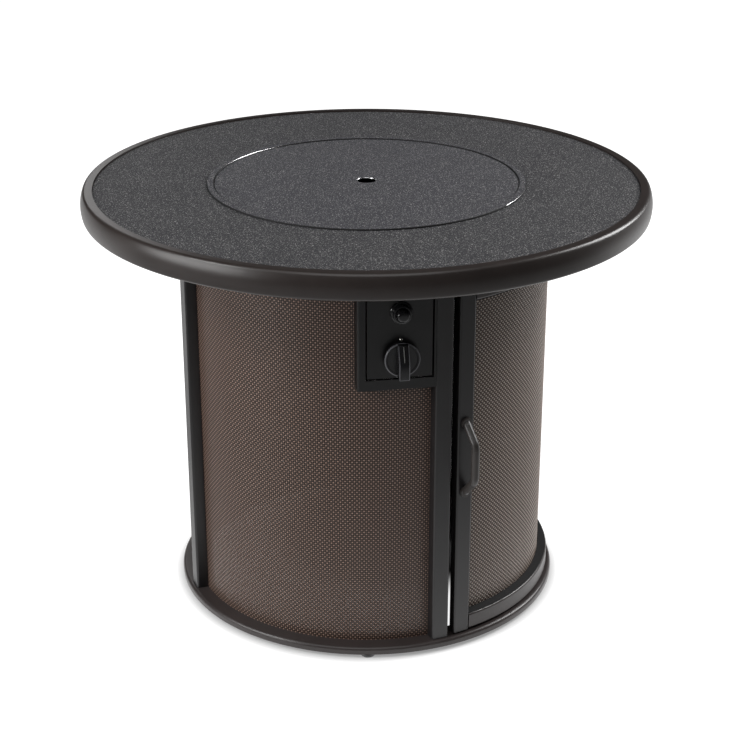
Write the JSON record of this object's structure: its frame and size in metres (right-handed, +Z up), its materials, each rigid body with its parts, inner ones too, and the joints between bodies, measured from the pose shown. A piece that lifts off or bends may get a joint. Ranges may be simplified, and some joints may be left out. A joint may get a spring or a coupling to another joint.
{
  "type": "gas fire pit table",
  "caption": "Round outdoor gas fire pit table: rimmed textured top with a lift-off burner lid on a woven mesh drum with a curved door, control knob and igniter button.",
  "frame": {"origin": "on the floor, under the centre of the round top", "axes": "+Z up; -Y out through the front post between the control panel and the door; +X to the right, towards the door hinge"},
  "size_m": [0.7859, 0.786, 0.6],
  "materials": {
    "rim_coat": "dark bronze powder coat, satin",
    "textured_coat": "speckled charcoal textured powder coat, matte",
    "frame_coat": "dark bronze powder coat, satin",
    "handle_coat": "dark bronze powder coat, satin",
    "pan_coat": "dark powder coat, satin",
    "panel_coat": "dark bronze powder coat, satin",
    "woven_mesh": "woven steel wire, brown powder coat",
    "stainless": "brushed",
    "zinc_steel": "zinc plated",
    "brass": "turned",
    "fire_glass": "tumbled tempered glass",
    "electrode_ceramic": "unglazed alumina",
    "lead_rubber": "silicone sleeve",
    "knob_plastic": "glossy",
    "catch_plastic": "moulded",
    "bush_nylon": "moulded",
    "foot_plastic": "moulded",
    "index_mark": "printed"
  },
  "bodies": {
    "table": {"top_rim": "rim_coat", "top_panel": "textured_coat", "top_hoop": "frame_coat", "base_ring": "frame_coat", "post_front": "frame_coat", "post_right": "frame_coat", "post_rear": "frame_coat", "post_left": "frame_coat", "strips_front": "frame_coat", "strips_left": "frame_coat", "strips_rear": "frame_coat", "support_arm_1": "frame_coat", "support_arm_2": "frame_coat", "support_arm_3": "frame_coat", "support_arm_4": "frame_coat", "burner_pan": "pan_coat", "control_box": "panel_coat", "control_plate": "panel_coat", "mesh_front": "woven_mesh", "mesh_left": "woven_mesh", "mesh_rear": "woven_mesh", "burner_ring": "stainless", "air_mixer": "stainless", "gas_line": "stainless", "top_bolts": "zinc_steel", "foot_screws": "zinc_steel", "hinge_pin_upper": "zinc_steel", "hinge_pin_lower": "zinc_steel", "plate_straps": "zinc_steel", "igniter_nut": "zinc_steel", "burner_nipple": "brass", "burner_lock_nut": "brass", "burner_elbow": "brass", "gas_valve": "brass", "fire_glass": "fire_glass", "spark_electrode": "electrode_ceramic", "igniter_lead": "lead_rubber", "igniter_body": "knob_plastic", "magnet_catch": "catch_plastic", "foot_1": "foot_plastic", "foot_2": "foot_plastic", "foot_3": "foot_plastic", "index_pip": "index_mark"},
    "door": {"door_stile_latch": "frame_coat", "door_stile_hinge": "frame_coat", "door_rail_top": "frame_coat", "door_rail_bottom": "frame_coat", "door_mesh": "woven_mesh", "door_handle": "handle_coat", "handle_screws": "zinc_steel", "door_bush_upper": "bush_nylon", "door_bush_lower": "bush_nylon", "strike_plate": "zinc_steel"},
    "lid": {"burner_lid": "textured_coat"},
    "stem_push": {"stem_collar": "stainless"},
    "knob": {"control_knob": "knob_plastic", "valve_stem": "stainless"},
    "igniter": {"igniter_button": "knob_plastic"}
  },
  "joints": [
    {"name": "lid_lift", "type": "slide", "parent": "table", "child": "lid", "axis": [0, 0, 1], "range_m": [0, 0.25]},
    {"name": "door_swing", "type": "hinge", "parent": "table", "child": "door", "pos_m": [0.25994, -0.03275, 0.28], "axis": [0, 0, 1], "range_deg": [0, 110]},
    {"name": "knob_push", "type": "slide", "parent": "table", "child": "stem_push", "axis": [0.2147, 0.9767, 0], "range_m": [0, 0.003], "stiffness_N_per_m": 1500},
    {"name": "knob_turn", "type": "hinge", "parent": "stem_push", "child": "knob", "pos_m": [-0.05675, -0.25813, 0.441], "axis": [-0.2147, -0.9767, 0], "range_deg": [0, 180]},
    {"name": "igniter_press", "type": "slide", "parent": "table", "child": "igniter", "axis": [0.2147, 0.9767, 0], "range_m": [0, 0.004], "stiffness_N_per_m": 800}
  ]
}
